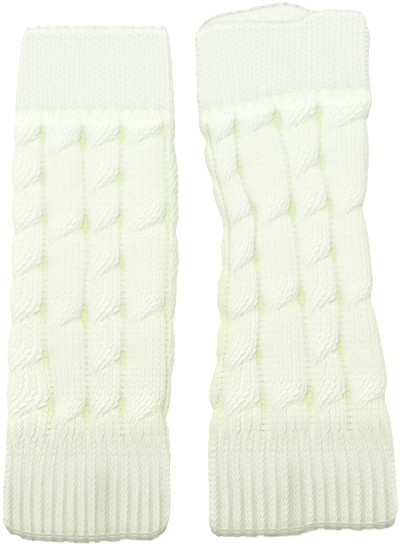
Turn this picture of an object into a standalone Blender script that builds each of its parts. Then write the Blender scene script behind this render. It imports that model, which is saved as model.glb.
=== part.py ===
"""Pair of cable-knit wrist warmers, laid flat side by side.

Each warmer is a knitted tube in three stretches: a rib cuff at the hand end, a cabled body and a rib
cuff at the arm end. Every stretch is a wall round a narrow slit, because the tube lies flat. Ribs and
cables are raised in the wall's outer points, on the top and round both folds; the underside is flat.
X runs across the pair, Y from the arm end to the hand end and Z up. Sizes are in millimetres.
"""

import math
from collections import namedtuple

import bmesh
import bpy
from mathutils import Vector

for item in list(bpy.data.objects):
    bpy.data.objects.remove(item, do_unlink=True)

MM = 0.001
SEAM_GAP = 0.3  # between a cuff and the body
SLIT = 1.0  # height of the hollow inside the flattened tube

# How thick the flattened tube is: the underside is pressed flat `sink` below the plain tube, whose two
# layers are `slab` thick, and the knitting stands `relief` proud of it.
Build = namedtuple("Build", "sink slab relief")
CUFF = Build(sink=0.9, slab=4.7, relief=1.0)
BODY = Build(sink=1.7, slab=6.0, relief=3.3)
WALL = 1.8  # from the fold of the plain tube to the slit

RIBS = 16  # knit ribs from fold to fold, half of those all round
POINTS_PER_RIB = 4
CUFF_RINGS = 5
BODY_RINGS = 49
INNER_EVERY = 6  # the plain inner wall needs only every sixth ring of the body
FLAT_POINTS = 8  # across the flat underside
FLAT_INSET = 3.2  # from the fold to where the underside is flat
UNDER_FOLD = ((115, 0.7), (148, 0.35))  # angle from upright and share of the relief, under a fold
FOLD_REACH = 4.5  # half thickness round which the knitting wraps at a fold
TOP_SWELL = 9.0  # the body swells from the cuff's thickness over this length at the hand end
LOW_SWELL = 18.0  # and over this one at the arm end

# Places across one cable, from groove to groove, where the wall has points
CABLE_STATIONS = (-1.0, -0.86, -0.62, -0.32, 0.0, 0.32, 0.62, 0.86)

# Sizes of a cable crossing: the front strand slants up to the right, over the strand behind it. The
# depths are shares of the relief.
CREASE_RISE = 5.6  # from the middle of the cable to its edge
STRAND = 11.0  # length of the front strand between its lower and upper crease
SHARP = 2.1  # how fast the crease falls on the front strand's side
SOFT = 4.6  # and how slowly the strand behind it climbs back
LOWER_DEPTH = 0.85
UPPER_DEPTH = 0.35
BULGE_HEIGHT = 0.28  # of the front strand's middle
BULGE_SPREAD = 5.0
PINCH = 0.16  # share of its width that a cable loses at a crossing, where the gutter opens
PINCH_HEIGHT = 3.0  # of the narrowest place, above the crossing
PINCH_SPREAD = 5.0
CABLE = 0.85  # height of a cable between its crossings
GUTTER = 0.1  # height of the purl stitches between the cables
PLAIN = 0.36  # height of the plain knitting between the cables' end and the cuff
PLAIN_FADE = 9.0  # length over which the cables sink to it
JOIN_RELIEF = 0.25  # height of the knitting where the body joins a cuff

# Outline of the warmer and the four grooves that show between its cables, from the hand end down
Row = namedtuple("Row", "y left g1 g2 g3 g4 right")
LEFT_ROWS = [
    Row(130, -94.0, -83.0, -61.5, -41.5, -18.5, -16.5),
    Row(112, -96.0, -83.0, -61.5, -41.5, -18.5, -15.0),
    Row(86, -98.0, -83.0, -61.5, -41.5, -18.5, -13.5),
    Row(65, -99.0, -83.0, -61.5, -41.5, -18.0, -12.5),
    Row(38, -99.5, -82.0, -61.0, -41.5, -17.0, -11.5),
    Row(12, -99.5, -82.0, -59.5, -41.5, -17.0, -11.5),
    Row(-15, -100.5, -82.0, -60.5, -40.5, -17.5, -12.5),
    Row(-41, -101.5, -81.5, -60.0, -40.0, -17.5, -13.5),
    Row(-68, -102.5, -78.0, -59.5, -41.0, -18.5, -15.5),
    Row(-97, -103.0, -81.5, -59.5, -40.5, -19.0, -16.0),
    Row(-121, -104.5, -81.5, -59.5, -40.5, -19.0, -16.0),
    Row(-142, -103.5, -81.5, -59.5, -40.5, -20.0, -17.0),
]
RIGHT_ROWS = [
    Row(142, -3.0, 0.5, 19.0, 40.5, 63.0, 91.0),
    Row(126, -3.0, 0.5, 19.0, 40.5, 63.0, 90.5),
    Row(111, -2.0, 1.0, 19.0, 40.5, 63.0, 89.5),
    Row(92, -1.5, 3.0, 19.0, 40.5, 63.0, 91.0),
    Row(75, 0.0, 4.5, 19.5, 42.5, 63.5, 89.5),
    Row(59, 3.0, 7.5, 20.5, 46.5, 64.5, 89.0),
    Row(43, 7.0, 11.3, 25.0, 48.0, 68.0, 88.0),
    Row(30, 10.5, 14.7, 29.5, 49.5, 70.0, 87.5),
    Row(13, 11.5, 16.0, 29.5, 52.0, 70.5, 89.5),
    Row(-7, 10.0, 15.0, 31.5, 54.0, 73.5, 91.5),
    Row(-20, 9.5, 14.0, 33.0, 55.0, 75.0, 92.5),
    Row(-41, 9.0, 13.5, 31.5, 57.0, 75.0, 96.5),
    Row(-60, 6.0, 11.5, 33.0, 58.0, 78.5, 99.0),
    Row(-74, 5.0, 11.0, 34.0, 59.0, 79.5, 100.0),
    Row(-94, 4.5, 11.5, 33.5, 59.5, 79.5, 102.5),
    Row(-121, 5.0, 11.5, 33.5, 59.5, 79.5, 104.5),
    Row(-139, 5.0, 11.5, 33.5, 59.5, 79.5, 104.0),
]

# Lines across the warmer, as points (x, y): its lower edge, the two joins of cuff and body, and the
# upper edges of the back and front layers, where the mouth may stand a little open
Stop = namedtuple("Stop", "x y")
LEFT_LINES = {
    "hem": [Stop(-104.5, -134), Stop(-100.5, -137.5), Stop(-95, -139.5), Stop(-85, -141.2),
            Stop(-57, -142), Stop(-37, -140.6), Stop(-27, -140.8), Stop(-21, -138), Stop(-16.5, -133)],
    "low_join": [Stop(-103, -96.5), Stop(-16, -96.5)],
    "high_join": [Stop(-98, 85.5), Stop(-13.5, 85.5)],
    "back_edge": [Stop(-94, 127), Stop(-91.5, 129.6), Stop(-60, 130.2), Stop(-19, 130), Stop(-16.5, 128)],
    "front_edge": [Stop(-94, 127), Stop(-91.5, 129), Stop(-60, 129.4), Stop(-19, 129.2), Stop(-16.5, 128)],
}
RIGHT_LINES = {
    "hem": [Stop(5, -136), Stop(9, -138.4), Stop(24, -139), Stop(51, -138), Stop(61, -135.2),
            Stop(88, -135.6), Stop(98, -134.2), Stop(102.5, -132.8), Stop(104.5, -128)],
    "low_join": [Stop(4.5, -94.5), Stop(102.5, -94)],
    "high_join": [Stop(-1.5, 85), Stop(29, 91.2), Stop(53, 95.5), Stop(91, 98)],
    "back_edge": [Stop(-3, 126.5), Stop(2, 132.3), Stop(8, 135.8), Stop(17, 137.9), Stop(35, 141.4),
                  Stop(48, 142.5), Stop(58.5, 138.8), Stop(85.5, 137.3), Stop(90.5, 127)],
    "front_edge": [Stop(-3, 126.5), Stop(2, 129.5), Stop(10, 131.6), Stop(30, 132.4), Stop(48, 132.2),
                   Stop(55, 134.6), Stop(61, 138), Stop(85.5, 137), Stop(90.5, 127)],
}

# The five cables that show, from left to right, each with the heights of its crossings
LEFT_ROPE = (67, 44.5, 22.5, -1, -25.5, -51, -75.5)
LEFT_CROSSINGS = [
    LEFT_ROPE,
    (64.5, 19, -28, -79.5),
    LEFT_ROPE,
    (69.5, 23, -24.5, -77.5),
    LEFT_ROPE,
]
RIGHT_CROSSINGS = [
    (66, 19, -30, -76),
    (70, 49, 27.5, 2.5, -23, -49, -74),
    (75.5, 27.5, -18.5, -71.5),
    (78, 53, 30, 5, -19, -45.5, -70),
    (78, 32, -16.5, -69),
]

# Places with points across a whole cable, as in CABLE_STATIONS, and across the strip of one that
# goes on round the fold
FIRST_STATIONS = (-1.0, -0.93, -0.8, -0.62, -0.3, 0.02, 0.36, 0.64, 0.86)
LAST_STATIONS = (-1.0, -0.86, -0.62, -0.32, 0.0, 0.32, 0.62, 0.8, 0.93)
STRIP_STATIONS = (-1.0, -0.45, 0.2)

# The outer two cables run on round the folds, and their hidden grooves lie `beyond` the outline. The
# plain tube's folds lie `inset` from the outline, which the raised knitting reaches.
Warmer = namedtuple("Warmer", "name rows lines crossings beyond inset cable_end stations")
WARMERS = [
    Warmer(
        "left", LEFT_ROWS, LEFT_LINES, LEFT_CROSSINGS, beyond=(1.5, 10.0), inset=(1.6, 2.9),
        cable_end=-84.0, stations=[FIRST_STATIONS] + 3 * [CABLE_STATIONS] + [STRIP_STATIONS],
    ),
    Warmer(
        "right", RIGHT_ROWS, RIGHT_LINES, RIGHT_CROSSINGS, beyond=(16.0, 1.5), inset=(2.4, 1.6),
        cable_end=-78.0, stations=[STRIP_STATIONS] + 3 * [CABLE_STATIONS] + [LAST_STATIONS],
    ),
]

CREAM = (0.87, 0.88, 0.80, 1.0)
SHADED_CREAM = (0.76, 0.77, 0.66, 1.0)
COLOURS = {"top_rib": CREAM, "body": CREAM, "bottom_rib": SHADED_CREAM}
YARN_ROUGHNESS = 0.9


def clamp(value, low=0.0, high=1.0):
    return max(low, min(high, value))


def smooth_step(low, high, value):
    """0 at low, 1 at high and an even S between them; low may be the greater."""
    share = clamp((value - low) / (high - low))
    return share * share * (3 - 2 * share)


def mix(low, high, share):
    return low + (high - low) * share


def hump(distance, spread):
    return math.exp(-((distance / spread) ** 2))


def curve(points, where):
    """Height at `where` of a smooth curve through (place, height) points in rising order."""
    last = len(points) - 1
    where = clamp(where, points[0][0], points[last][0])
    i = next(k for k in range(last) if where <= points[k + 1][0])

    def slope(k):
        before, after = points[max(k - 1, 0)], points[min(k + 1, last)]
        return (after[1] - before[1]) / (after[0] - before[0])

    (start, start_height), (end, end_height) = points[i], points[i + 1]
    span = end - start
    t = (where - start) / span
    return (
        (2 * t**3 - 3 * t**2 + 1) * start_height
        + (t**3 - 2 * t**2 + t) * span * slope(i)
        + (3 * t**2 - 2 * t**3) * end_height
        + (t**3 - t**2) * span * slope(i + 1)
    )


def column(warmer, name, y):
    """One column of the warmer's table, read at height y."""
    return curve(sorted((row.y, getattr(row, name)) for row in warmer.rows), y)


def line_height(warmer, name, x):
    """Height at x of one of the lines across the warmer."""
    return curve([tuple(stop) for stop in warmer.lines[name]], x)


def crossing_shape(q, from_crossing):
    """Share of a cable's height near a crossing; q runs from -1 to 1 across the cable."""
    below = from_crossing - CREASE_RISE * q
    above = below - STRAND
    lower = math.exp(-below / SHARP) if below > 0 else math.exp(below / SOFT)
    upper = math.exp(above / SHARP) if above < 0 else math.exp(-above / SOFT)
    lower_crease = LOWER_DEPTH * lower * smooth_step(-1.0, 0.1, q)
    upper_crease = UPPER_DEPTH * upper * smooth_step(0.8, -0.6, q)
    return 1 - lower_crease - upper_crease + BULGE_HEIGHT * hump(below - STRAND / 2, BULGE_SPREAD)


def cable_relief(warmer, x, y):
    """How far the cables stand proud at x, y, as a share of the full relief."""
    edges = [column(warmer, name, y) for name in ("left", "g1", "g2", "g3", "g4", "right")]
    edges[0] -= warmer.beyond[0]
    edges[-1] += warmer.beyond[1]
    k = next((i for i in range(4) if x < edges[i + 1]), 4)
    q = clamp(2 * (x - edges[k]) / (edges[k + 1] - edges[k]) - 1, -1, 1)
    nearest = min(warmer.crossings[k], key=lambda height: abs(y - height - STRAND / 2))
    width = 1 - PINCH * hump(y - nearest - PINCH_HEIGHT, PINCH_SPREAD)
    pad = (1 - abs(clamp(q / width, -1, 1)) ** 3) ** 0.6
    cable = CABLE * pad * crossing_shape(q, y - nearest)
    return GUTTER + mix(PLAIN, cable, smooth_step(warmer.cable_end - PLAIN_FADE, warmer.cable_end, y))


def own_share(warmer, x, y):
    """0 where the body joins a cuff, with the cuff's thickness, and 1 where it has its own."""
    below_top = line_height(warmer, "high_join", x) - y
    above_low = y - line_height(warmer, "low_join", x)
    return smooth_step(-2, TOP_SWELL, below_top) * smooth_step(-4, LOW_SWELL, above_low)


def blend_build(share):
    return Build(*(mix(cuff, body, share) for cuff, body in zip(CUFF, BODY)))


def lean_at(x, left, right, radius):
    """Angle from upright of the plain tube's upper side at x, below zero towards the left fold."""
    near_left = clamp((left + radius - x) / radius)
    near_right = clamp((x - right + radius) / radius)
    return math.asin(near_right) - math.asin(near_left)


def unrolled(along, left, right, radius):
    """X of a place measured along the plain tube's upper side from its left fold."""
    arc = math.pi / 2 * radius
    flat = right - left - 2 * radius
    if along < arc:
        return left + radius - radius * math.cos(along / radius)
    if along > arc + flat:
        return right - radius + radius * math.sin((along - arc - flat) / radius)
    return left + radius + along - arc


class Stretch:
    """One stretch of a warmer, between two of its lines across."""

    def __init__(self, warmer, low, high, rings, inner_every):
        self.warmer = warmer
        self.low = low
        self.high = high
        self.rings = rings
        self.inner_every = inner_every
        self.cabled = (low, high) == ("low_join", "high_join")

    def height(self, x, share, front):
        """Y at x on the ring at this share of the stretch, on the front layer or the back one."""
        high = self.high
        if high == "edge":
            high = "front_edge" if front else "back_edge"
        bottom = line_height(self.warmer, self.low, x) + (SEAM_GAP if self.low == "high_join" else 0)
        top = line_height(self.warmer, high, x) - (SEAM_GAP if self.high == "low_join" else 0)
        return mix(bottom, top, share)

    def meeting(self, name, share, front):
        """X and Y where this ring meets a line of the table that runs along the warmer."""
        y = 0.0
        for _ in range(4):
            x = column(self.warmer, name, y)
            y = self.height(x, share, front)
        return x, y

    def own(self, x, y):
        return own_share(self.warmer, x, y) if self.cabled else 0.0

    def folds(self, share):
        """X of both folds of the plain tube, before its knitting is raised."""
        left, left_y = self.meeting("left", share, False)
        right, right_y = self.meeting("right", share, False)
        inset_left, inset_right = self.warmer.inset
        return left + inset_left * self.own(left, left_y), right - inset_right * self.own(right, right_y)

    def upper_places(self, left, right, share):
        """X of the points across the upper layer, from fold to fold."""
        if not self.cabled:
            radius = CUFF.slab / 2
            length = right - left + (math.pi - 2) * radius
            steps = RIBS * POINTS_PER_RIB
            return [unrolled(length * i / steps, left, right, radius) for i in range(steps + 1)]
        grooves = [self.meeting(name, share, True)[0] for name in ("g1", "g2", "g3", "g4")]
        knots = [left] + grooves + [right]
        places = []
        for start, end, stations in zip(knots, knots[1:], self.warmer.stations):
            places += [mix(start, end, (q + 1) / 2) for q in stations]
        return places + [right]

    def raised(self, index, x, y, lean):
        """How far the knitting stands proud at a point of the upper side."""
        if not self.cabled:
            return CUFF.relief * (0.5 - 0.5 * math.cos(2 * math.pi * index / POINTS_PER_RIB))
        own = self.own(x, y)
        around = x + FOLD_REACH * (lean - math.sin(lean))
        return blend_build(own).relief * mix(JOIN_RELIEF, cable_relief(self.warmer, around, y), own)

    def ring(self, share):
        """Outer and inner points of one ring, over the top from left to right and back beneath."""
        left, right = self.folds(share)
        outer, inner, proud = [], [], []

        def add(x, lean, push_out, front):
            y = self.height(x, share, front)
            build = blend_build(self.own(x, y))
            radius = build.slab / 2
            middle = build.sink + radius
            centre = clamp(x, left + radius, right - radius)
            core = clamp(x, left + WALL + SLIT / 2, right - WALL - SLIT / 2)
            reach = radius + push_out
            outer.append((centre + math.sin(lean) * reach, y, max(0.0, middle + math.cos(lean) * reach)))
            inner.append((core + math.sin(lean) * SLIT / 2, y, middle + math.cos(lean) * SLIT / 2))

        for index, x in enumerate(self.upper_places(left, right, share)):
            y = self.height(x, share, True)
            lean = lean_at(x, left, right, blend_build(self.own(x, y)).slab / 2)
            proud.append(self.raised(index, x, y, lean))
            add(x, lean, proud[-1], True)
        for degrees, fade in UNDER_FOLD:
            add(right, math.radians(degrees), proud[-1] * fade, False)
        for k in range(FLAT_POINTS):
            x = mix(right - FLAT_INSET, left + FLAT_INSET, k / (FLAT_POINTS - 1))
            add(x, math.pi, BODY.sink, False)
        for degrees, fade in reversed(UNDER_FOLD):
            add(left, -math.radians(degrees), proud[0] * fade, False)
        return outer, inner

    def build(self, name):
        """A closed wall: rings of outer points, fewer rings of inner points, and both ends closed."""
        mesh = bmesh.new()
        outer_rings, inner_rings = [], []
        for k in range(self.rings):
            outer, inner = self.ring(k / (self.rings - 1))
            outer_rings.append([mesh.verts.new(Vector(point) * MM) for point in outer])
            if k % self.inner_every == 0:
                inner_rings.append([mesh.verts.new(Vector(point) * MM) for point in inner])
        layers = outer_rings + inner_rings[::-1]
        for lower, upper in zip(layers, layers[1:] + layers[:1]):
            for i in range(len(lower)):
                j = (i + 1) % len(lower)
                mesh.faces.new((lower[i], lower[j], upper[j], upper[i]))
        bmesh.ops.triangulate(mesh, faces=mesh.faces)
        bmesh.ops.recalc_face_normals(mesh, faces=mesh.faces)
        data = bpy.data.meshes.new(name)
        mesh.to_mesh(data)
        mesh.free()
        return bpy.data.objects.new(name, data)


def yarn(name, colour):
    material = bpy.data.materials.new(name)
    material.use_nodes = True
    shader = material.node_tree.nodes["Principled BSDF"]
    shader.inputs["Base Color"].default_value = colour
    shader.inputs["Roughness"].default_value = YARN_ROUGHNESS
    shader.inputs["Metallic"].default_value = 0.0
    return material


pair = bpy.data.collections.new("pair of wrist warmers")
bpy.context.scene.collection.children.link(pair)
for warmer in WARMERS:
    stretches = {
        "top_rib": Stretch(warmer, "high_join", "edge", CUFF_RINGS, CUFF_RINGS - 1),
        "body": Stretch(warmer, "low_join", "high_join", BODY_RINGS, INNER_EVERY),
        "bottom_rib": Stretch(warmer, "hem", "low_join", CUFF_RINGS, CUFF_RINGS - 1),
    }
    for piece, stretch in stretches.items():
        knitted = stretch.build(f"{warmer.name}_{piece}")
        knitted.data.materials.append(yarn(f"{warmer.name} {piece} yarn", COLOURS[piece]))
        pair.objects.link(knitted)
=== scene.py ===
"""Looks of a pair of cable-knit wrist warmers that lie flat side by side on a pale floor.

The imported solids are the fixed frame. Each one is replaced by a fine fabric ground of the same form, and
every stitch of the knitting lies on it as its own two legs of yarn. X runs across the pair, Y from the
arm end to the hand end and Z up. Sizes in the knitting are millimetres, which MM turns into metres.
"""

import math
from collections import namedtuple

import bpy
import numpy as np
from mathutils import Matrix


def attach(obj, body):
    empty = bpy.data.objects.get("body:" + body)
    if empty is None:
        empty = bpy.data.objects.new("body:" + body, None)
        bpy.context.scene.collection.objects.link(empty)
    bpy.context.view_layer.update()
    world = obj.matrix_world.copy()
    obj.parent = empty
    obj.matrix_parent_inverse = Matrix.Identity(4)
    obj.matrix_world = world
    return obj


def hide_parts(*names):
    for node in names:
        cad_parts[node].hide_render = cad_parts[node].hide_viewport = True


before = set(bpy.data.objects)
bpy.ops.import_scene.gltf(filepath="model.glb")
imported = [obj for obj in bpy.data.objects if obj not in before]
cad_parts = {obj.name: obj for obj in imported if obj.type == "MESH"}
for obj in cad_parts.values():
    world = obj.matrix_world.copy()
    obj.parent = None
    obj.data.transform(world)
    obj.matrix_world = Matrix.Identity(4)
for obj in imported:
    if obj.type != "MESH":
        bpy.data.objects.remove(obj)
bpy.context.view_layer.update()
MM = 0.001

# Yarn: one thick, soft, matt ivory acrylic, spun of three plies with a short fuzz. It is almost white at
# the hand end and painted darker and yellower toward the arm end: painted shade, where the light falls off.
# In the gutters between the cables painted shade turns it yellow-green, for light bounced from wall to
# wall, and between a cuff's ribs painted shade turns it grey-olive.
HAND_END_COLOUR = (0.666, 0.68, 0.634, 1.0)
ARM_END_SHADED = (0.702, 0.714, 0.614, 1.0)
PAINTED_GUTTER_SHADE = (0.84, 0.905, 0.60, 1.0)  # both are painted shade, as shares of the yarn's own colour
PAINTED_VALLEY_SHADE = (0.70, 0.72, 0.635, 1.0)
MOTTLE_SCALE = 70.0  # all three per metre
FUZZ_SCALE = 1300.0
LINT_SCALE = 3600.0
MOTTLED, FUZZY = 0.22, 0.16  # how far the mottle and the fuzz vary how deep the colour is
BLOTCHY = 0.3  # how far the mottle varies the painted shade toward the arm end
PLIES = 3
PLY_DEPTH = 0.0001
FUZZ_DEPTH = 0.00012
COLOUR_A, COLOUR_B, COLOUR_OUT = 6, 7, 2  # sockets of a Mix node that mixes colours


class Shade:
    """A shader socket. Operators add Math nodes, and node() adds any other kind of node."""

    def __init__(self, tree, socket):
        self.tree = tree
        self.socket = socket

    @classmethod
    def node(cls, tree, kind, settings, inputs, output=0):
        made = tree.nodes.new(kind)
        for name, value in settings.items():
            setattr(made, name, value)
        for name, value in inputs.items():
            if isinstance(value, Shade):
                tree.links.new(value.socket, made.inputs[name])
            else:
                made.inputs[name].default_value = value
        return cls(tree, made.outputs[output])

    def math(self, operation, first, second):
        return self.node(self.tree, "ShaderNodeMath", {"operation": operation}, {0: first, 1: second})

    def __add__(self, other):
        return self.math("ADD", self, other)

    def __radd__(self, other):
        return self.math("ADD", other, self)

    def __sub__(self, other):
        return self.math("SUBTRACT", self, other)

    def __rsub__(self, other):
        return self.math("SUBTRACT", other, self)

    def __mul__(self, other):
        return self.math("MULTIPLY", self, other)

    def __rmul__(self, other):
        return self.math("MULTIPLY", other, self)

    def sine(self):
        return self.math("SINE", self, 0.0)

    def clipped(self):
        return self.math("MAXIMUM", self.math("MINIMUM", self, 1.0), 0.0)


def yarn(name, tint):
    """Matt yarn that takes the tint as painted shade where its piece lies deep, by the piece's own
    attribute.
    """
    material = bpy.data.materials.new(name)
    material.use_nodes = True
    tree = material.node_tree
    shader = tree.nodes["Principled BSDF"]
    place = Shade.node(tree, "ShaderNodeTexCoord", {}, {}, "Object")

    def noise(scale, detail):
        inputs = {"Vector": place, "Scale": scale, "Detail": detail, "Roughness": 0.6}
        return Shade.node(tree, "ShaderNodeTexNoise", {}, inputs, "Fac")

    mottle, fuzz, lint = noise(MOTTLE_SCALE, 2.0), noise(FUZZ_SCALE, 3.0), noise(LINT_SCALE, 1.0)
    deep = Shade.node(tree, "ShaderNodeAttribute", {"attribute_name": "deep"}, {}, "Fac")
    twist = Shade.node(tree, "ShaderNodeUVMap", {"uv_map": "twist"}, {})
    around = Shade.node(tree, "ShaderNodeSeparateXYZ", {}, {0: twist}, "X")
    # painted shade toward the arm end, from the piece's own attribute
    yellowing = Shade.node(tree, "ShaderNodeAttribute", {"attribute_name": "yellowing"}, {}, "Fac")
    share = (deep + (mottle - 0.5) * MOTTLED + (fuzz - 0.5) * FUZZY).clipped()
    end_shade_share = (yellowing + (mottle - 0.5) * BLOTCHY).clipped()
    end_colours = {"Factor": end_shade_share, COLOUR_A: HAND_END_COLOUR, COLOUR_B: ARM_END_SHADED}
    own = Shade.node(tree, "ShaderNodeMix", {"data_type": "RGBA"}, end_colours, COLOUR_OUT)
    tinted = {"Factor": share, COLOUR_A: own, COLOUR_B: tint}
    multiplied = {"data_type": "RGBA", "blend_type": "MULTIPLY"}
    colour = Shade.node(tree, "ShaderNodeMix", multiplied, tinted, COLOUR_OUT)
    plies = (around * (2 * math.pi * PLIES)).sine()
    twisted = {"Distance": PLY_DEPTH, "Strength": 0.7, "Height": plies * 0.5 + 0.5}
    plied = Shade.node(tree, "ShaderNodeBump", {}, twisted)
    rough = fuzz * 0.7 + lint * 0.3
    fuzzed = {"Distance": FUZZ_DEPTH, "Strength": 0.8, "Height": rough, "Normal": plied}
    relief = Shade.node(tree, "ShaderNodeBump", {}, fuzzed)
    tree.links.new(colour.socket, shader.inputs["Base Color"])
    tree.links.new(relief.socket, shader.inputs["Normal"])
    shader.inputs["Roughness"].default_value = 0.85
    shader.inputs["Specular IOR Level"].default_value = 0.2
    shader.inputs["Sheen Weight"].default_value = 0.2
    shader.inputs["Sheen Roughness"].default_value = 0.5
    return material


body_yarn = yarn("body yarn", PAINTED_GUTTER_SHADE)
cuff_yarn = yarn("cuff yarn", PAINTED_VALLEY_SHADE)

# Fabric ground: each warmer is one knitted tube, 86 courses long, with a rib cuff, a body of eight cables
# and another rib cuff. Pressed flat, a cuff shows 16 ribs and the body four cables. The ground is the
# wall of that tube just under its stitches, closed all over, with the narrow hollow inside.
Build = namedtuple("Build", "sink slab relief")
CUFF = Build(sink=0.9, slab=4.7, relief=0.85)
BODY = Build(sink=1.7, slab=6.0, relief=3.3)
SLIT = 1.0  # height of the hollow inside the flattened tube
WALL = 1.8  # from the fold of the plain tube to the hollow
FOLD_REACH = 4.5  # radius round which the cables turn at a fold
FLANK_AT, FLANK_SPREAD = 1.5, 4.0  # where the shade at a side fold lies from it, and how wide
FLOOR_GAP = 0.4  # how near the flattened underside comes to the floor, before its stitches
TOP_START, TOP_SWELL = -2.0, 9.0  # the body swells from a cuff's thickness between these, below the high
LOW_START, LOW_SWELL = -4.0, 18.0  # join and above the low one
DENT_DEPTH, DENT_SPREAD, DENT_SHADE = 0.5, 4.5, 0.3  # the soft fold along each arm cuff: its depth, its width and the painted shade in it
HAND_SHADE = 0.1  # how deep the painted shade in the hand end's valleys is, where the arm end's is 1
HEM_SHADE = 0.5  # how much painted shade deepens the arm end's edge
JOIN_SHADE, JOIN_SPREAD = 0.2, 1.3  # how much painted shade deepens the high join, and over how many courses
HOLLOW_SHADE = 0.08  # how much painted shade deepens all that lies below the cables' highest rounds
FOLD_SHADE = 0.3  # what is left of a gutter's painted shade at a side fold
GUTTER_BELOW = 0.5  # share of the relief below which the knitting counts as a gutter, which takes painted shade
HEM_ROUNDING, HEM_DROP = 1.4, 0.42  # courses over which a cuff's edge rounds off, and how far

STITCHES = 64
STITCH_WIDTH, COURSE_HEIGHT = 2.65, 3.14
PURL_SHARE = 0.85  # width of a purl stitch in a gutter, drawn in between two cables
RIB_DRAW = 0.78  # how far the purl stitches of a cuff are drawn in
RELAXED = 0.18  # height of the hand end's ribs, against the arm end's
LOW_COURSE, HIGH_COURSE, LAST_COURSE = 14, 72, 86
RIB_END = LOW_COURSE + 3  # the arm end's ribs run on a little way into the body
RIBS_FULL = LOW_COURSE - 5  # below this course they have their full height, and the soft fold its depth
GATHER_START, GATHER_END = LOW_COURSE - 3, LOW_COURSE + 5  # the ribs draw together into the cables here
RISE_START, RISE_END = LOW_COURSE - 4, LOW_COURSE + 2  # and the cables begin to rise here
CHANGE = 1.5  # courses over which one kind of knitting changes into the other
PURLS = (0, 7, 16, 23, 32, 39, 48, 55, 64)  # the purl stitch in the gutter between each two cables
PLACED_PURLS = (0, 7, 16, 23, 32, 64)  # those with a place in the tables; the rest are spread evenly

# Outline of each warmer and the four gutters that show, from the hand end down
Row = namedtuple("Row", "y left g1 g2 g3 g4 right")
LEFT_ROWS = [
    Row(130, -94.0, -83.0, -61.5, -41.5, -18.5, -16.5),
    Row(112, -96.0, -83.0, -61.5, -41.5, -18.5, -15.0),
    Row(86, -98.0, -83.0, -61.5, -41.5, -18.5, -13.5),
    Row(65, -99.0, -83.0, -61.5, -41.5, -18.0, -12.5),
    Row(38, -99.5, -82.0, -61.0, -41.5, -17.0, -11.5),
    Row(12, -99.5, -82.0, -59.5, -41.5, -17.0, -11.5),
    Row(-15, -100.5, -82.0, -60.5, -40.5, -17.5, -12.5),
    Row(-41, -101.5, -81.5, -60.0, -40.0, -17.5, -13.5),
    Row(-68, -102.5, -78.0, -59.5, -41.0, -18.5, -15.5),
    Row(-97, -103.0, -81.5, -59.5, -40.5, -19.0, -16.0),
    Row(-121, -104.5, -81.5, -59.5, -40.5, -19.0, -16.0),
    Row(-142, -103.5, -81.5, -59.5, -40.5, -20.0, -17.0),
]
RIGHT_ROWS = [
    Row(142, -3.0, 0.5, 19.0, 40.5, 63.0, 91.0),
    Row(126, -3.0, 0.5, 19.0, 40.5, 63.0, 90.5),
    Row(111, -2.0, 1.0, 19.0, 40.5, 63.0, 89.5),
    Row(92, -1.5, 3.0, 19.0, 40.5, 63.0, 91.0),
    Row(75, 0.0, 4.5, 19.5, 42.5, 63.5, 89.5),
    Row(59, 3.0, 7.5, 20.5, 46.5, 64.5, 89.0),
    Row(43, 7.0, 11.3, 25.0, 48.0, 68.0, 88.0),
    Row(30, 10.5, 14.7, 29.5, 49.5, 70.0, 87.5),
    Row(13, 11.5, 16.0, 29.5, 52.0, 70.5, 89.5),
    Row(-7, 10.0, 15.0, 31.5, 54.0, 73.5, 91.5),
    Row(-20, 9.5, 14.0, 33.0, 55.0, 75.0, 92.5),
    Row(-41, 9.0, 13.5, 31.5, 57.0, 75.0, 96.5),
    Row(-60, 6.0, 11.5, 33.0, 58.0, 78.5, 99.0),
    Row(-74, 5.0, 11.0, 34.0, 59.0, 79.5, 100.0),
    Row(-94, 4.5, 11.5, 33.5, 59.5, 79.5, 102.5),
    Row(-121, 5.0, 11.5, 33.5, 59.5, 79.5, 104.5),
    Row(-139, 5.0, 11.5, 33.5, 59.5, 79.5, 104.0),
]

# Lines across each warmer as points x, y: its lower edge, the joins of cuff and body, and the upper
# edges of the back and front layers
LEFT_LINES = {
    "hem": [(-104.5, -134), (-100.5, -137.5), (-95, -139.5), (-85, -141.2), (-57, -142), (-37, -140.6),
            (-27, -140.8), (-21, -138), (-16.5, -133)],
    "low_join": [(-103, -96.5), (-16, -96.5)],
    "high_join": [(-98, 85.5), (-13.5, 85.5)],
    "back_edge": [(-94, 127), (-91.5, 129.6), (-60, 130.2), (-19, 130), (-16.5, 128)],
    "front_edge": [(-94, 127), (-91.5, 129), (-60, 129.4), (-19, 129.2), (-16.5, 128)],
}
RIGHT_LINES = {
    "hem": [(5, -136), (9, -138.4), (24, -139), (51, -138), (61, -135.2), (88, -135.6), (98, -134.2),
            (102.5, -132.8), (104.5, -128)],
    "low_join": [(4.5, -94.5), (102.5, -94)],
    "high_join": [(-1.5, 85), (29, 91.2), (53, 95.5), (91, 98)],
    "back_edge": [(-3, 126.5), (2, 132.3), (8, 135.8), (17, 137.9), (35, 141.4), (48, 142.5),
                  (58.5, 138.8), (85.5, 137.3), (90.5, 127)],
    "front_edge": [(-3, 126.5), (2, 129.5), (10, 131.6), (30, 132.4), (48, 132.2), (55, 134.6),
                   (61, 138), (85.5, 137), (90.5, 127)],
}

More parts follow.
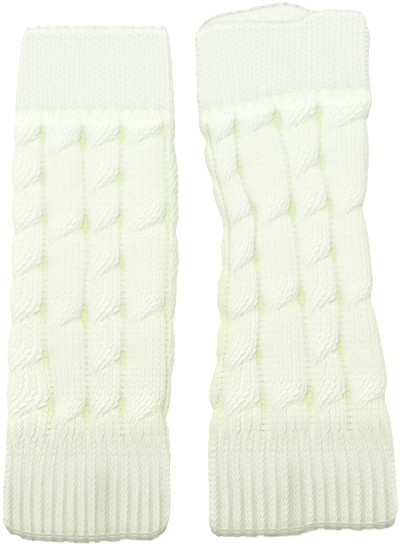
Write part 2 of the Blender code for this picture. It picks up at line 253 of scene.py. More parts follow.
# Heights of the crossings of each cable, round the tube from the one after stitch 0
LEFT_ROPE = (67, 44.5, 22.5, -1, -25.5, -51, -75.5)
RIGHT_ROPE = (78, 53, 30, 5, -19, -45.5, -70)
HIDDEN_WIDE = (66, 19, -28, -76)
LEFT_CROSSINGS = [
    LEFT_ROPE, (64.5, 19, -28, -79.5), LEFT_ROPE, (69.5, 23, -24.5, -77.5),
    LEFT_ROPE, HIDDEN_WIDE, LEFT_ROPE, HIDDEN_WIDE,
]
RIGHT_CROSSINGS = [
    (70, 49, 27.5, 2.5, -23, -49, -74), (75.5, 27.5, -18.5, -71.5), RIGHT_ROPE, (78, 32, -16.5, -69),
    RIGHT_ROPE, HIDDEN_WIDE, RIGHT_ROPE, (66, 19, -30, -76),
]

# A crossing: half of a cable's stitches slant up to the right over the other half, which dips under them
# along a slanting crease. Depths and heights are shares of the relief, and lengths run up the cable.
CREASE_RISE = 5.2  # from the middle of the cable to its edge
SHARP, SOFT = 1.7, 5.0  # how fast the strands in front and behind climb out of the crease
CREASE_DEPTH = 0.72
PAD_SQUARE = 2.6  # how flat a cable's top is from gutter to gutter
PAD_ROUND = 0.55  # and how round its shoulders are
BULGE_HEIGHT, BULGE_AT, BULGE_SPREAD = 0.28, 7.0, 7.5  # the swell of the strand in front, above its crease
NIP, NIP_SPREAD, NIP_MEAN = 1.2, 5.0, 0.3  # how far, over what length, crossings draw in the outline
NICK, NICK_SPREAD = 0.4, 3.5  # dip at the crease's lower left end
GAP_IN, GAP_SPREAD = 0.15, 5.5  # how the cable draws back from the gutter at the crease's upper end
ROPE_GAP = 0.7  # and how much of that a rope cable does
CABLE, GUTTER, GAP_FLOOR = 0.7, 0.32, 0.0  # heights of a cable, of a gutter, and of it where it stands open
PLAIN, JOIN_RELIEF = 0.42, 0.25  # heights of plain knitting, and of all at the joins
WANDER = 0.22  # how far the wales stray to either side
PLAIN_FADE = 16.0  # length over which the cables sink into plain knitting at the arm end


def smooth_step(low, high, value):
    """0 up to low, 1 from high on, and smooth between them. low may be the greater of the two."""
    share = np.clip((value - low) / (high - low), 0, 1)
    return share * share * (3 - 2 * share)


def mix(low, high, share):
    return low + (high - low) * share


def hump(distance, spread):
    """1 at no distance, and smoothly less to both sides."""
    return np.exp(-((distance / spread) ** 2))


def curve(points, where):
    """A smooth curve through (place, height) points, read at each place of an array."""
    places, heights = np.array(sorted(points), float).T
    before = np.maximum(np.arange(len(places)) - 1, 0)
    after = np.minimum(np.arange(len(places)) + 1, len(places) - 1)
    slopes = (heights[after] - heights[before]) / (places[after] - places[before])
    where = np.clip(where, places[0], places[-1])
    i = np.clip(np.searchsorted(places, where) - 1, 0, len(places) - 2)
    span = places[i + 1] - places[i]
    t = (where - places[i]) / span
    return (
        (2 * t**3 - 3 * t**2 + 1) * heights[i]
        + (t**3 - 2 * t**2 + t) * span * slopes[i]
        + (3 * t**2 - 2 * t**3) * heights[i + 1]
        + (t**3 - t**2) * span * slopes[i + 1]
    )


class Warmer:
    """A knitted tube, laid flat, on which a place is given as a stitch round it and a course along it."""

    def __init__(self, name, rows, lines, crossings, inset, cable_end, gutters, shift, flanks, dent):
        self.name = name
        self.rows = rows
        self.lines = lines
        self.crossings = crossings
        self.cable_end = cable_end
        self.flanks = flanks
        self.dent = dent
        self.courses = np.linspace(0, LAST_COURSE, 10 * LAST_COURSE + 1)
        left, left_own = self.meeting("left", 0.0)
        right, right_own = self.meeting("right", 0.0)
        self.left = left + inset[0] * left_own + self.nip(left, 0) * left_own
        self.right = right - inset[1] * right_own - self.nip(right, 3) * right_own
        own = (left_own + right_own) / 2
        self.radius = mix(CUFF.slab, BODY.slab, own) / 2
        self.reach = mix(CUFF.slab / 2, FOLD_REACH, own)
        self.arc = math.pi / 2 * self.reach
        self.half_round = self.right - self.left - 2 * self.radius + 2 * self.arc
        places = [self.along(self.meeting(gutter, offset)[0]) for gutter, offset in gutters]
        places.append(places[0] + 2 * self.half_round)
        cabled = smooth_step(GATHER_START, GATHER_END, self.courses)
        cabled = cabled * np.clip((LAST_COURSE - self.courses) / (LAST_COURSE - HIGH_COURSE), 0, 1)
        turned = np.where(self.courses < (LOW_COURSE + HIGH_COURSE) / 2, *shift)
        even = [self.half_round * (purl + turned) / (STITCHES / 2) for purl in PLACED_PURLS]
        self.purl_places = [mix(a, b, cabled) for a, b in zip(even, places)]

    def height(self, x, course, front):
        """Y at x on a course of the front or the back layer."""
        hem, low, high = (curve(self.lines[name], x) for name in ("hem", "low_join", "high_join"))
        edge = np.where(front, curve(self.lines["front_edge"], x), curve(self.lines["back_edge"], x))
        arm_rib = mix(hem, low, course / LOW_COURSE)
        body = mix(low, high, (course - LOW_COURSE) / (HIGH_COURSE - LOW_COURSE))
        hand_rib = mix(high, edge, (course - HIGH_COURSE) / (LAST_COURSE - HIGH_COURSE))
        return np.where(course < LOW_COURSE, arm_rib, np.where(course < HIGH_COURSE, body, hand_rib))

    def own(self, x, y):
        """0 in a cuff and 1 where the body has its own thickness."""
        below_top = curve(self.lines["high_join"], x) - y
        above_low = y - curve(self.lines["low_join"], x)
        share = smooth_step(TOP_START, TOP_SWELL, below_top) * smooth_step(LOW_START, LOW_SWELL, above_low)
        return np.where((below_top > 0) & (above_low > 0), share, 0.0)

    def meeting(self, column, offset):
        """X where each course meets a column of the table, and how far the body has swollen there."""
        points = [(row.y, getattr(row, column) + offset) for row in self.rows]
        y = np.zeros_like(self.courses)
        for _ in range(5):
            x = curve(points, y)
            y = self.height(x, self.courses, False)
        return x, self.own(x, y)

    def nip(self, x, cable):
        """How far the crossings of the cable along a fold draw the outline in there, at each course."""
        y = self.height(x, self.courses, False)
        near = hump(y[:, None] - np.array(self.crossings[cable], float), NIP_SPREAD).sum(axis=1)
        return NIP * (near - NIP_MEAN)

    def along(self, x):
        """Way round the tube from its left fold, over the front, to the knitting's outline at x."""
        on_left = x < (self.left + self.right) / 2
        past = np.where(on_left, self.left + self.radius - x, x - self.right + self.radius)
        lean = np.maximum(past, 0) / self.radius
        for _ in range(8):
            error = self.reach * lean + (self.radius - self.reach) * np.sin(np.minimum(lean, math.pi / 2))
            lean = lean - (error - np.maximum(past, 0)) / self.reach
        flat = x - self.left - self.radius + self.arc
        on_right_fold = self.half_round - self.arc + self.reach * lean
        on_fold = np.where(on_left, self.arc - self.reach * lean, on_right_fold)
        return np.where(past > 0, on_fold, flat)

    def gap(self, purl, y):
        """How far the gutter at a purl stitch stands open at a height, by the crossings left of it."""
        rows = np.array(self.crossings[purl - 1], float)
        wide = 1.0 if len(rows) < 5 else ROPE_GAP
        return wide * np.sum(hump(y[:, None] - rows - CREASE_RISE, GAP_SPREAD), axis=1)

    def cable_relief(self, stitch, y):
        """Height of the cables, as a share of the relief."""
        relief, gutter = np.zeros_like(y), np.zeros_like(y)
        for k, crossings in enumerate(self.crossings):
            here = (stitch >= PURLS[k]) & (stitch <= PURLS[k + 1])
            q = 2 * (stitch[here] - PURLS[k]) / (PURLS[k + 1] - PURLS[k]) - 1
            below = y[here][:, None] - np.array(crossings, float) - CREASE_RISE * q[:, None]
            crease = np.exp(np.where(below > 0, -below / SHARP, below / SOFT)).sum(axis=1)
            bulge = hump(below - BULGE_AT, BULGE_SPREAD).sum(axis=1)
            nick = hump(below, NICK_SPREAD).sum(axis=1) * smooth_step(-0.3, -0.9, q)
            shape = 1 - CREASE_DEPTH * crease * smooth_step(-1.1, 0.3, q) + BULGE_HEIGHT * bulge
            shape = shape - NICK * nick
            own_gap, next_gap = self.gap(k + 1, y[here]), self.gap(k, y[here])
            drawn = 1 - GAP_IN * np.where(q > 0, own_gap, 0.5 * next_gap)
            pad = (1 - np.clip(abs(q) / drawn, 0, 1) ** PAD_SQUARE) ** PAD_ROUND
            relief[here] = CABLE * pad * shape
            gutter[here] = mix(GUTTER, GAP_FLOOR, np.where(q > 0, own_gap, next_gap))
        relief = gutter + relief * (1 - gutter)
        cabled = smooth_step(self.cable_end - PLAIN_FADE, self.cable_end, y)
        return mix(PLAIN, relief, cabled)

    def settled(self, stitch, knit):
        """Where stitches lie, in even stitches: the purl ones are drawn in and the knit ones wide."""
        k = np.clip(np.searchsorted(PURLS, stitch, side="right") - 1, 0, len(PURLS) - 2)
        first, last = np.array(PURLS)[k], np.array(PURLS)[k + 1]
        half = (last - first) / 2
        aside = half - abs(stitch - first - half)
        purl = PURL_SHARE / 2
        narrow = np.where(aside < 0.5, aside * PURL_SHARE, mix(purl, half, (aside - 0.5) / (half - 0.5)))
        cabled = np.where(stitch < first + half, first + narrow, last - narrow)
        return mix(stitch - RIB_DRAW * np.sin(math.pi * stitch) / math.pi, cabled, knit)

    def read(self, values, course):
        """A table of values, one for each of the courses, read at any course."""
        return np.interp(course, self.courses, values)

    def face(self, stitch, course, lift=0.0):
        """Points of the knitting's face in millimetres, and the depth of painted shade on each, from 0 to
        1.
        """
        stitch = np.mod(stitch, STITCHES)
        course = np.clip(course, 0, LAST_COURSE)
        below_high = smooth_step(HIGH_COURSE, HIGH_COURSE - CHANGE, course)
        knit = smooth_step(RIB_END - CHANGE, RIB_END + 1, course) * below_high
        settled = np.clip(self.settled(stitch, knit), 0, STITCHES)
        knots = np.array([self.read(places, course) for places in self.purl_places])
        k = np.clip(np.searchsorted(PLACED_PURLS, settled, side="right") - 1, 0, len(PLACED_PURLS) - 2)
        first, last = np.array(PLACED_PURLS)[k], np.array(PLACED_PURLS)[k + 1]
        each = np.arange(len(stitch))
        along = mix(knots[k, each], knots[k + 1, each], (settled - first) / (last - first))
        half, arc, reach = (self.read(values, course) for values in (self.half_round, self.arc, self.reach))
        left, right, radius = (self.read(values, course) for values in (self.left, self.right, self.radius))
        turn = 2 * math.pi * stitch / STITCHES
        along = along + WANDER * (np.sin(0.23 * course + 5 * turn) + 0.6 * np.sin(0.61 * course - 9 * turn))
        along = np.mod(along, 2 * half)
        front = along < half
        over = np.where(front, along, 2 * half - along)
        lean = (np.minimum(over - arc, 0) + np.maximum(over - half + arc, 0)) / reach
        centre = np.clip(left + radius + over - arc, left + radius, right - radius)
        across, up = np.sin(lean), np.cos(lean) * np.where(front, 1, -1)
        x = centre + across * radius
        y = self.height(x, course, front)
        own = self.own(x, y)
        sink, slab, relief = (mix(cuff, body, own) for cuff, body in zip(CUFF, BODY))
        ribs = 0.5 - 0.5 * np.cos(math.pi * stitch)
        relief_share = self.cable_relief(settled, y)
        cables = mix(JOIN_RELIEF, relief_share, own)
        from_edge = np.minimum(course, LAST_COURSE - course)
        rounded = 1 - HEM_DROP * smooth_step(HEM_ROUNDING, 0, from_edge) ** 2
        fading = mix(0.5, 1, smooth_step(RIB_END, RIBS_FULL, course))
        rib_relief = CUFF.relief * ribs * (mix(1, RELAXED, course / LAST_COURSE) * fading)
        dent = hump(x - self.dent, DENT_SPREAD) * smooth_step(LOW_COURSE, RIBS_FULL, course) * front
        raised = smooth_step(RISE_START, RISE_END, course) * below_high
        push = slab / 2 - DENT_DEPTH * dent + rib_relief * (1 - knit) + relief * cables * raised
        push = push * rounded
        z = sink + slab / 2 + up * push
        z = np.where(z < 2 * FLOOR_GAP, FLOOR_GAP * (1 + np.exp((z - 2 * FLOOR_GAP) / FLOOR_GAP)), z)
        # Painted shade: deepest toward the arm end in the valleys between a cuff's ribs, plus the soft
        # fold, the arm end's edge and the high join
        shaded = smooth_step(RIB_END + 2, 3, course) + HAND_SHADE * (course >= HIGH_COURSE)
        in_valley = shaded * (1 - ribs) + DENT_SHADE * dent + HEM_SHADE * smooth_step(2.5, 0, course)
        uneven = 0.6 + 0.4 * np.sin(2.3 * stitch)
        in_valley = in_valley + JOIN_SHADE * hump(course - HIGH_COURSE, JOIN_SPREAD) * uneven
        # Painted shade in the gutters and under the cables' highest rounds, less at a side fold
        beside_fold = smooth_step(1, 10, np.minimum(x - left, right - x))
        in_gutter = mix(FOLD_SHADE, 1, beside_fold) * (1 - smooth_step(0.0, GUTTER_BELOW, relief_share))
        in_gutter = in_gutter + HOLLOW_SHADE * smooth_step(0.9, 0.6, relief_share)
        deep = mix(in_valley, own * in_gutter, knit)
        for edge, inward, shade in ((left, 1, self.flanks[0]), (right, -1, self.flanks[1])):
            deep = deep + shade * own * hump((x - edge) * inward - FLANK_AT, FLANK_SPREAD)
        points = np.stack([centre + across * (push + lift), y, z + up * lift], axis=-1)
        return points, deep

    def lining(self, stitch, course):
        """Points of the inner wall, round the narrow hollow."""
        course = np.clip(course, 0, LAST_COURSE)
        outer, _ = self.face(stitch, course)
        left, right = self.read(self.left, course), self.read(self.right, course)
        inset = WALL + SLIT / 2
        x = np.clip(outer[:, 0], left + inset, right - inset)
        own = self.own(x, outer[:, 1])
        middle = mix(CUFF.sink + CUFF.slab / 2, BODY.sink + BODY.slab / 2, own)
        way = outer[:, ::2] - np.stack([x, middle], axis=-1)
        way = way / np.linalg.norm(way, axis=1)[:, None]
        points = np.stack([x + way[:, 0] * SLIT / 2, outer[:, 1], middle + way[:, 1] * SLIT / 2], axis=-1)
        return points, np.zeros_like(x)


END_SHADE_LENGTH = 260.0  # length over which the painted shade toward the arm end grows from none to full


def knitted_piece(name, slot, material, points, faces, deep, twist=None, normals=None):
    """A smooth mesh piece from points in millimetres and arrays of faces with equal corners."""
    mesh = bpy.data.meshes.new(name)
    corners = np.concatenate([group.ravel() for group in faces])
    sizes = np.concatenate([np.full(len(group), group.shape[1]) for group in faces])
    mesh.vertices.add(len(points))
    mesh.vertices.foreach_set("co", (points * MM).ravel())
    mesh.loops.add(len(corners))
    mesh.loops.foreach_set("vertex_index", corners)
    mesh.polygons.add(len(sizes))
    mesh.polygons.foreach_set("loop_start", np.cumsum(sizes) - sizes)
    mesh.update(calc_edges=True)
    mesh.shade_smooth()
    # painted shade: darker and yellower toward the arm end
    yellowing = np.clip(0.5 - points[:, 1] / END_SHADE_LENGTH, 0, 1)
    for attribute, values in (("deep", deep), ("yellowing", yellowing)):
        mesh.attributes.new(attribute, "FLOAT", "POINT").data.foreach_set("value", values)
    layer = mesh.uv_layers.new(name="twist", do_init=False)
    if twist is not None:
        layer.data.foreach_set("uv", twist.ravel())
    if normals is not None:
        mesh.normals_split_custom_set_from_vertices(normals.tolist())
    mesh.materials.append(material)
    piece = bpy.data.objects.new(name, mesh)
    bpy.context.scene.collection.objects.link(piece)
    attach(piece, "root")
    return piece


WARMERS = [
    Warmer(
        "left", LEFT_ROWS, LEFT_LINES, LEFT_CROSSINGS, inset=(1.6, 2.9), cable_end=-86.0,
        gutters=[("left", -1.5), ("g1", 0), ("g2", 0), ("g3", 0), ("g4", 0)], shift=(0, -2),
        flanks=(0.0, 0.2), dent=-51.0,
    ),
    Warmer(
        "right", RIGHT_ROWS, RIGHT_LINES, RIGHT_CROSSINGS, inset=(2.4, 1.6), cable_end=-82.0,
        gutters=[("g1", 0), ("g2", 0), ("g3", 0), ("g4", 0), ("right", 1.5)], shift=(2, -0.5),
        flanks=(0.12, 0.1), dent=49.5,
    ),
]
Stretch = namedtuple("Stretch", "name slot material first last rings linings")
STRETCHES = [
    Stretch("top_rib", "cuff_yarn", cuff_yarn, HIGH_COURSE, LAST_COURSE, 19, 3),
    Stretch("body", "body_yarn", body_yarn, LOW_COURSE, HIGH_COURSE, 117, 9),
    Stretch("bottom_rib", "shaded_cuff_yarn", cuff_yarn, 0, LOW_COURSE, 19, 3),
]
RIB_DROP, VALLEY_RISE = 0.3, 0.15  # from the face down to the ground on a rib, and up to it in a valley
POINTS_ROUND = 192
EDGE_RING = 0.01  # from a stretch's cut edge to its next ring, in courses
BODY_EDGE = 0.001  # how far within its joins the body's edge is read, to have the body's own thickness
GROUND_SHADE = 0.12  # how much deeper the painted shade is on the ground, between the stitches, than on them


def ground(warmer, stretch):
    """The closed fabric ground of one stretch of a tube, in place of its solid."""
    rings, stitches = [], np.arange(POINTS_ROUND) * STITCHES / POINTS_ROUND
    ribs = 0.5 - 0.5 * np.cos(math.pi * stitches)
    within = BODY_EDGE if stretch.name == "body" else 0.0
    inner = np.linspace(stretch.first + EDGE_RING, stretch.last - EDGE_RING, stretch.rings)
    for course in (stretch.first + within, *inner, stretch.last - within):
        cabled = smooth_step(RIB_END - 1, RIB_END + 4, course)
        cabled = cabled * smooth_step(HIGH_COURSE, HIGH_COURSE - 4, course)
        lift = mix(VALLEY_RISE, -RIB_DROP, ribs) * (1 - cabled)
        rings.append(warmer.face(stitches, np.full(POINTS_ROUND, course), lift))
    inner = np.linspace(stretch.last - EDGE_RING, stretch.first + EDGE_RING, stretch.linings)
    for course in (stretch.last, *inner, stretch.first):
        rings.append(warmer.lining(stitches, np.full(POINTS_ROUND, course)))
    start = np.arange(len(rings))[:, None] * POINTS_ROUND
    this, following = np.arange(POINTS_ROUND), np.roll(np.arange(POINTS_ROUND), -1)
    above = np.roll(start, -1, axis=0)
    faces = np.stack([start + this, start + following, above + following, above + this], axis=-1)
    points = np.concatenate([ring for ring, deep in rings])
    deep = np.clip(np.concatenate([deep for ring, deep in rings]) + GROUND_SHADE, 0, 1)
    name = f"{warmer.name}_{stretch.name}"
    piece = knitted_piece(
        f"{name}_ground", stretch.slot, stretch.material, points, [faces.reshape(-1, 4)], deep
    )
    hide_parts(name)
    return piece


# Stitches: a knit stitch shows as a V of two plump legs, and a purl stitch as one bump across. Cuffs are
# knit and purl in turn. In the body, purl stitches lie in the gutters and knit ones on the cables, whose
# left half swings over to the right at each crossing while the other half dips out of sight behind it.
YARN_RADIUS = 0.78
FLATTENED = 0.52  # thickness of a leg, as a share of its width
FUZZED = (0.45, 0.95)  # how far fuzz evens out the shading of an upright leg, and of one that lies over
RIM_FUZZED = 0.45  # the same for the rim, whose shading evens out toward the way the edge faces
CRISP = 0.7  # how much plainer the legs stand out at the arm end than at the hand end
CRISP_FROM, CRISP_TO = 60, -110  # between these heights
LEG_SHADE = 0.5  # how deep the painted shade on the underside of a leg is at the arm end
HAND_LEG = 0.25  # and what share of that it is at the hand end
Station = namedtuple("Station", "out up lift thick")
LEG = [
    Station(out=0.08, up=-0.20, lift=-0.42, thick=0.75),
    Station(out=0.13, up=0.10, lift=-0.26, thick=0.98),
    Station(out=0.22, up=0.42, lift=-0.22, thick=1.0),
    Station(out=0.28, up=0.78, lift=-0.26, thick=0.98),
    Station(out=0.30, up=1.12, lift=-0.44, thick=0.75),
]
BUMP = [
    Station(out=-0.52, up=0.34, lift=-0.50, thick=0.8),
    Station(out=-0.28, up=0.46, lift=-0.36, thick=1.2),
    Station(out=0.0, up=0.52, lift=-0.32, thick=1.3),
    Station(out=0.28, up=0.46, lift=-0.36, thick=1.2),
    Station(out=0.52, up=0.34, lift=-0.50, thick=0.8),
]
RIM = [
    Station(out=-0.62, up=0.0, lift=-0.95, thick=1.0),
    Station(out=-0.30, up=0.0, lift=-0.68, thick=1.3),
    Station(out=0.0, up=0.0, lift=-0.6, thick=1.4),
    Station(out=0.30, up=0.0, lift=-0.68, thick=1.3),
    Station(out=0.62, up=0.0, lift=-0.95, thick=1.0),
]
SEEN_SIDES, UNDER_SIDES = 7, 5
UNDER_STATIONS = [0, 1, 3, 4]
LOOSEST, RAGGED = 0.05, 0.06  # how unevenly high and how unevenly thick the legs are
SIDE_STEP, RISE_STEP = 0.16, 0.15  # stitches and courses over which the slope of the face is read
PLY_TURN = 0.45  # how far the plies turn round the yarn from one station to the next
YARN_FLOOR = 0.3  # yarn that would come nearer the floor than this lies flatter there
RIB_SPREAD = 1.32  # how far apart the two legs of a rib stitch lie, against even knitting
KNOB = 1.5  # the purl stitches along the arm end's edge are this much plumper
CABLE_WALES = {7: 4, 9: 6}  # knit stitches across a cable, by the even stitches from purl to purl
SIDEWARD = 0.19  # how far a cable's outer wales crowd together down its sides
LEAN_START = -4.0  # where a crossing's strand starts to swing, below the crossing
LEAN_END, LEAD_END = 17.0, 7.5  # where its last and its first stitches stand again, above it
KEPT_BELOW, KEPT_ABOVE, KEPT_ASIDE = 0.8, 0.5, 0.25  # how far past its creases and side a strand shows
RIM_RAGGED = {"top_rib": 0.15, "bottom_rib": -0.35}  # how far the edge stitches stray outward
ROUND_FOLD = -0.35  # stitches that face up more than this belong to the front layer, folds included
BENEATH = -0.9  # and those that face up less than this lie flat under the tube
INSIDE_COURSES = 7  # how far the inside of a mouth is seen
random = np.random.default_rng(64)


def knitting(surface, feet, leans, stations, mirrored, sides, spread=1.0, edge=0.0, inward=False):
    """Arrays for one length of yarn on each stitch: points, faces, depth of painted shade, twist and
    normals.

    surface gives points for stitches and courses. feet and leans are stitches and courses, at the foot
    and gained from there to the head. spread is how far apart the yarn lies, against even knitting.
    edge is how far, up or down, the stitches of a rim stray, and inward is for yarn on the lining.
    """
    out = np.array([s.out for s in stations]) * (-1 if mirrored else 1)
    up, lift, thick = (np.array([getattr(s, part) for s in stations]) for part in ("up", "lift", "thick"))
    count, rings = len(feet), len(stations)
    width, length = leans[:, 0] * STITCH_WIDTH, leans[:, 1] * COURSE_HEIGHT
    size = np.hypot(width, length)
    spread = np.broadcast_to(spread, count)[:, None]
    out = out * spread
    stitch = feet[:, :1] + leans[:, :1] * up + (length / size)[:, None] * out
    aslant = (width / size)[:, None] * out * STITCH_WIDTH / COURSE_HEIGHT
    course = feet[:, 1:] + leans[:, 1:] * up - aslant
    stitch, course = stitch.ravel(), course.ravel()
    points, deep = surface(stitch, course)
    side = surface(stitch + SIDE_STEP, course)[0] - surface(stitch - SIDE_STEP, course)[0]
    inner = np.clip(course, 0.2, LAST_COURSE - 0.2)
    rise = surface(stitch, inner + RISE_STEP)[0] - surface(stitch, inner - RISE_STEP)[0]
    normal = np.cross(rise, side) if inward else np.cross(side, rise)
    normal /= np.linalg.norm(normal, axis=1)[:, None]
    lifts = np.tile(lift, count) + np.repeat(random.uniform(-LOOSEST, LOOSEST, count), rings)
    middle = points + normal * lifts[:, None]
    middle[:, 1] += edge * np.repeat(random.uniform(-1, 3, count), rings)
    middle = middle.reshape(count, rings, 3)
    way = np.gradient(middle, axis=1)
    way /= np.linalg.norm(way, axis=2)[:, :, None]
    normal = normal.reshape(count, rings, 3)
    beside = np.cross(way, normal)
    beside /= np.linalg.norm(beside, axis=2)[:, :, None]
    normal = np.cross(beside, way)
    angles = np.arange(sides) * 2 * math.pi / sides
    ragged = random.uniform(1 - RAGGED, 1 + RAGGED, count)[:, None]
    radius = YARN_RADIUS * (0.4 + 0.6 * spread) * thick * ragged
    steep = (length / size)[:, None, None, None]
    flatter = 1 if stations is RIM else FLATTENED * steep
    over = normal[:, :, None] * np.cos(angles)[:, None] * flatter
    turned = (over - beside[:, :, None] * np.sin(angles)[:, None]) * radius[:, :, None, None]
    shell = (middle[:, :, None] + turned).reshape(-1, 3)
    round_normals = turned / np.linalg.norm(turned, axis=3)[:, :, :, None]
    crisp = smooth_step(CRISP_FROM, CRISP_TO, middle[:, :, 1])[:, :, None]
    fuzz = mix(FUZZED[1], FUZZED[0], steep) * (1 - CRISP * crisp[:, :, :, None] * steep**4)
    toward = normal[:, :, None]
    if edge:
        fuzz, toward = RIM_FUZZED, np.array([0.0, math.copysign(1, edge), 0.0])
    normals = mix(round_normals, toward, fuzz).reshape(-1, 3)
    normals /= np.linalg.norm(normals, axis=1)[:, None]
    pressed = YARN_FLOOR * np.exp((shell[:, 2] - YARN_FLOOR) / YARN_FLOOR)
    shell[:, 2] = np.where(shell[:, 2] < YARN_FLOOR, pressed, shell[:, 2])
    one = np.arange((rings - 1) * sides).reshape(rings - 1, sides)
    beyond = np.roll(one, -1, axis=1)
    quads = np.stack([one, one + sides, beyond + sides, beyond], axis=-1)
    tips = np.stack([np.arange(sides), np.arange(sides)[::-1] + (rings - 1) * sides])
    start = (np.arange(count) * rings * sides)[:, None, None]
    faces = [(quads.reshape(-1, 4) + start).reshape(-1, 4), (tips + start).reshape(-1, sides)]
    k, i = np.meshgrid(np.arange(rings - 1), np.arange(sides), indexing="ij")
    turn = PLY_TURN * np.stack([k, k + 1, k + 1, k], axis=-1)
    twist = np.stack([np.stack([i, i, i + 1, i + 1], axis=-1) / sides + turn, turn], axis=-1)
    twist = np.concatenate([np.tile(twist.reshape(-1, 2), (count, 1)), np.zeros((count * 2 * sides, 2))])
    shade = 0 if edge > 0 else LEG_SHADE  # a mouth's edge shows its inner side, which isn't shaded
    # painted shade round each leg's underside, deeper at the arm end
    underside_shade = shade * mix(HAND_LEG, 1, crisp) * (0.5 - 0.5 * np.cos(angles))
    deep = np.clip(deep.reshape(count, rings, 1) + underside_shade, 0, 1).ravel()
    return shell, faces, deep, twist, normals


def joined(parts):
    """One set of arrays from several."""
    offset, faces = 0, []
    for shell, groups, *_ in parts:
        faces += [group + offset for group in groups]
        offset += len(shell)
    points, deep, twist, normals = (np.concatenate([part[i] for part in parts]) for i in (0, 2, 3, 4))
    return points, faces, deep, twist, normals


def grid(courses, stitches):
    """A foot on every stitch of every course."""
    courses, stitches = np.meshgrid(courses, stitches)
    return np.stack([stitches.ravel(), courses.ravel()], axis=-1).astype(float)


def upright(feet):
    """Leans of stitches that stand straight, one course tall."""
    return np.tile([0.0, 1.0], (len(feet), 1))


def knit_feet(warmer, stretch):
    """Feet, leans and spreads of the knit stitches of a stretch."""
    if stretch.name != "body":
        feet = grid(np.arange(max(stretch.first, 1), stretch.last), np.arange(1, STITCHES, 2))
        return feet, upright(feet), np.full(len(feet), RIB_SPREAD)
    ribs = grid(np.arange(LOW_COURSE, RIB_END), np.arange(1, STITCHES, 2))
    feet, leans, spreads = [ribs], [upright(ribs)], [np.full(len(ribs), RIB_SPREAD)]
    table = np.arange(RIB_END, HIGH_COURSE + 0.5, 0.5)
    for k, crossings in enumerate(warmer.crossings):
        middle, reach = (PURLS[k] + PURLS[k + 1]) / 2, (PURLS[k + 1] - PURLS[k] - 1) / 2
        wales = CABLE_WALES[PURLS[k + 1] - PURLS[k]]
        heights = warmer.face(np.full_like(table, middle), table)[0][:, 1]
        rising = sorted(crossings)
        for crossing, above in zip([-math.inf] + rising, rising + [math.inf]):
            over = heights - crossing
            order = np.arange(wales + 2)[:, None] - 0.5
            leads = np.clip(2 * order / wales - 1, 0, 1)
            standing = smooth_step(LEAN_START, mix(LEAN_END, LEAD_END, leads), over)
            even = 2 * order / wales - 1 - (1 - standing)
            bowed = even * (1 + SIDEWARD * (1 - even**2))
            past = np.sign(even) * (1 + (1 - 2 * SIDEWARD) * (abs(even) - 1))
            places = middle + reach * np.where(abs(even) < 1, bowed, past)
            apart = np.gradient(places, axis=0)
            for wale in range(1, wales + 1):
                foot, centre, head = places[wale, :-1:2], places[wale, 1::2], places[wale, 2::2]
                crease = CREASE_RISE * (centre - middle) / (reach + 0.5)
                y = heights[1::2]
                kept = (y > crossing + crease - KEPT_BELOW) & (y <= above + crease + KEPT_ABOVE)
                kept = kept & (centre > middle - reach - KEPT_ASIDE)
                feet.append(np.stack([foot, table[:-1:2]], axis=-1)[kept])
                leans.append(np.stack([head - foot, np.ones_like(foot)], axis=-1)[kept])
                spreads.append(apart[wale, 1::2][kept])
    return np.concatenate(feet), np.concatenate(leans), np.concatenate(spreads)


def purl_feet(stretch):
    """Feet of the purl stitches of a stretch. A cuff's run on a little way into the body."""
    if stretch.name == "body":
        ribs = grid(np.arange(LOW_COURSE, RIB_END), np.arange(0, STITCHES, 2))
        return np.concatenate([ribs, grid(np.arange(RIB_END, HIGH_COURSE - 2), PURLS[:-1])])
    ribs = grid(np.arange(max(stretch.first - 1, 0), stretch.last), np.arange(0, STITCHES, 2))
    if stretch.name == "top_rib":
        return ribs
    return np.concatenate([ribs, grid([-0.2, 0.35], np.arange(1, STITCHES, 2))])


def upward(warmer, feet):
    """How far each stitch faces up: 1 on top of the front layer and -1 beneath the back one."""
    places = warmer.face(feet[:, 0], feet[:, 1])[0]
    lifted = warmer.face(feet[:, 0], feet[:, 1], 1.0)[0]
    return lifted[:, 2] - places[:, 2]


def on_front(warmer, feet):
    """Whether each stitch lies on the front layer or round its folds, so that it shows from above."""
    return upward(warmer, feet) > ROUND_FOLD


def dress(warmer, stretch):
    """The stitches of one stretch, as one piece for the front layer and one for the back."""
    pieces = []
    knit, leans, spreads = knit_feet(warmer, stretch)
    purl = purl_feet(stretch)
    for layer in ("front", "back"):
        seen = layer == "front"
        sides = SEEN_SIDES if seen else UNDER_SIDES
        leg = LEG if seen else [LEG[i] for i in UNDER_STATIONS]
        bump = BUMP if seen else [BUMP[i] for i in UNDER_STATIONS]
        here = on_front(warmer, knit) == seen
        parts = [
            knitting(warmer.face, knit[here], leans[here], leg, mirrored, sides, spreads[here])
            for mirrored in (False, True)
        ]
        bumps = purl[on_front(warmer, purl) == seen]
        plump = np.where(bumps[:, 1] < 0.5, KNOB, 1.0)
        parts.append(knitting(warmer.face, bumps, upright(bumps), bump, False, sides, plump))
        if stretch.name in RIM_RAGGED:
            rim = grid([LAST_COURSE if stretch.name == "top_rib" else 0], np.arange(STITCHES))
            rim = rim[on_front(warmer, rim) == seen]
            edge = RIM_RAGGED[stretch.name]
            parts.append(knitting(warmer.face, rim, upright(rim), RIM, False, sides, edge=edge))
        if stretch.name == "top_rib" and not seen:
            inner = grid(np.arange(LAST_COURSE - INSIDE_COURSES, LAST_COURSE), np.arange(1, STITCHES, 2))
            inner = inner[upward(warmer, inner) < BENEATH]
            for mirrored in (False, True):
                parts.append(knitting(
                    warmer.lining, inner, upright(inner), LEG, mirrored, sides, RIB_SPREAD, inward=True
                ))
        name = f"{warmer.name}_{stretch.name}_{layer}_stitches"
        pieces.append(knitted_piece(name, stretch.slot, stretch.material, *joined(parts)))
    return pieces


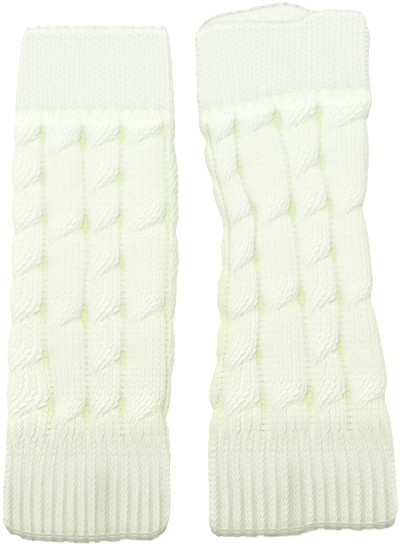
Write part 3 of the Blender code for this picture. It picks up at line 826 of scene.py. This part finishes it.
# Each stretch gets its ground and its stitches, and the size of the sheet it was knitted as is worked out:
# as wide as the tube is round and as long as it is tall
for warmer in WARMERS:
    across = np.linspace(warmer.rows[0].left, warmer.rows[0].right, 9)
    for stretch in STRETCHES:
        cloth = ground(warmer, stretch)
        stitches = dress(warmer, stretch)
        ends = [warmer.height(across, course, True).mean() for course in (stretch.first, stretch.last)]
        within = (warmer.courses >= stretch.first) & (warmer.courses <= stretch.last)
        cut = (2 * warmer.half_round[within].mean() * MM, (ends[1] - ends[0]) * MM)

# Studio: a white floor under even light, a little stronger from the hand end, and the camera straight
# above with a long lens that frames the pair as the photograph does.
FRAME_HEIGHT = 0.2883  # height of the picture, at the level of the cloth's upper side
CLOTH_LEVEL = 0.006
CAMERA_HEIGHT = 2.2
CAMERA_ASIDE, CAMERA_UP = 0.00005, 0.00008
FLOOR_HALF, FLOOR_LEVEL = 3.0, -0.0002

floor_mesh = bpy.data.meshes.new("floor")
corners = [(x * FLOOR_HALF, y * FLOOR_HALF, FLOOR_LEVEL) for x, y in ((-1, -1), (1, -1), (1, 1), (-1, 1))]
floor_mesh.from_pydata(corners, [], [(0, 1, 2, 3)])
floor = bpy.data.objects.new("floor", floor_mesh)
bpy.context.scene.collection.objects.link(floor)
white = bpy.data.materials.new("white floor")
white.use_nodes = True
paint = white.node_tree.nodes["Principled BSDF"].inputs
paint["Base Color"].default_value = (1.0, 1.0, 1.0, 1.0)
paint["Roughness"].default_value = 1.0
paint["Specular IOR Level"].default_value = 0.0
paint["Emission Color"].default_value = (1.0, 1.0, 1.0, 1.0)
paint["Emission Strength"].default_value = 0.3
floor_mesh.materials.append(white)

world = bpy.data.worlds.new("soft white room")
bpy.context.scene.world = world
world.use_nodes = True
world.node_tree.nodes["Background"].inputs["Color"].default_value = (1.0, 1.0, 1.0, 1.0)
world.node_tree.nodes["Background"].inputs["Strength"].default_value = 0.66

lamp_data = bpy.data.lights.new("window", "AREA")
lamp_data.shape = "RECTANGLE"
lamp_data.size = 1.2
lamp_data.size_y = 1.2
lamp_data.energy = 26.0
lamp = bpy.data.objects.new("window", lamp_data)
bpy.context.scene.collection.objects.link(lamp)
lamp.location = (-0.2, 0.6, 1.6)
lamp.rotation_euler = (math.radians(-20.6), math.radians(-7), 0.0)

camera_data = bpy.data.cameras.new("camera")
camera_data.sensor_width = 36.0
camera_data.lens = camera_data.sensor_width * (CAMERA_HEIGHT - CLOTH_LEVEL) / FRAME_HEIGHT
camera_data.clip_end = 20.0
camera = bpy.data.objects.new("camera", camera_data)
bpy.context.scene.collection.objects.link(camera)
camera.location = (CAMERA_ASIDE, CAMERA_UP, CAMERA_HEIGHT)
bpy.context.scene.camera = camera
bpy.context.scene.view_settings.view_transform = "Standard"
